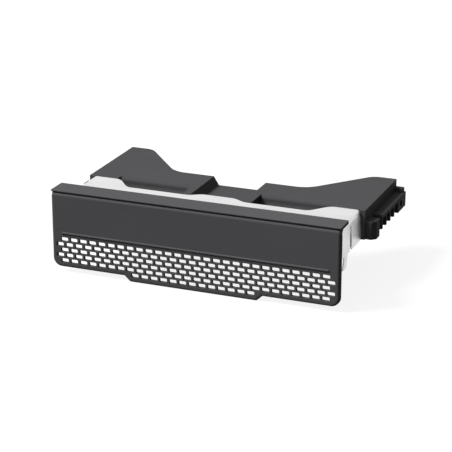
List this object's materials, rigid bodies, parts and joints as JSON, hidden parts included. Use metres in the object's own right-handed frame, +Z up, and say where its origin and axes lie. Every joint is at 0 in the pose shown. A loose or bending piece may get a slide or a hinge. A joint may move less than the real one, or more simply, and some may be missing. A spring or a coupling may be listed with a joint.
{
  "type": "drive bay blank filler",
  "caption": "Drive bay blank filler with a brick-pattern vent grille, a folded metal shielding sheet and a two-armed moulded carrier with guide rails.",
  "frame": {"origin": "middle of the bezel's lower rim, on the rear face that seats on the front of the bay", "axes": "+X across the bay to the right seen from the front, +Y into the bay, +Z up"},
  "size_m": [0.156, 0.093, 0.0422],
  "materials": {
    "charcoal_plastic": "fine moulded texture",
    "sheet_metal": "plain rolled sheet",
    "black_plastic": "fine moulded texture"
  },
  "bodies": {
    "root": {"bezel": "charcoal_plastic", "emi_shield": "sheet_metal", "carrier": "black_plastic"}
  },
  "joints": []
}
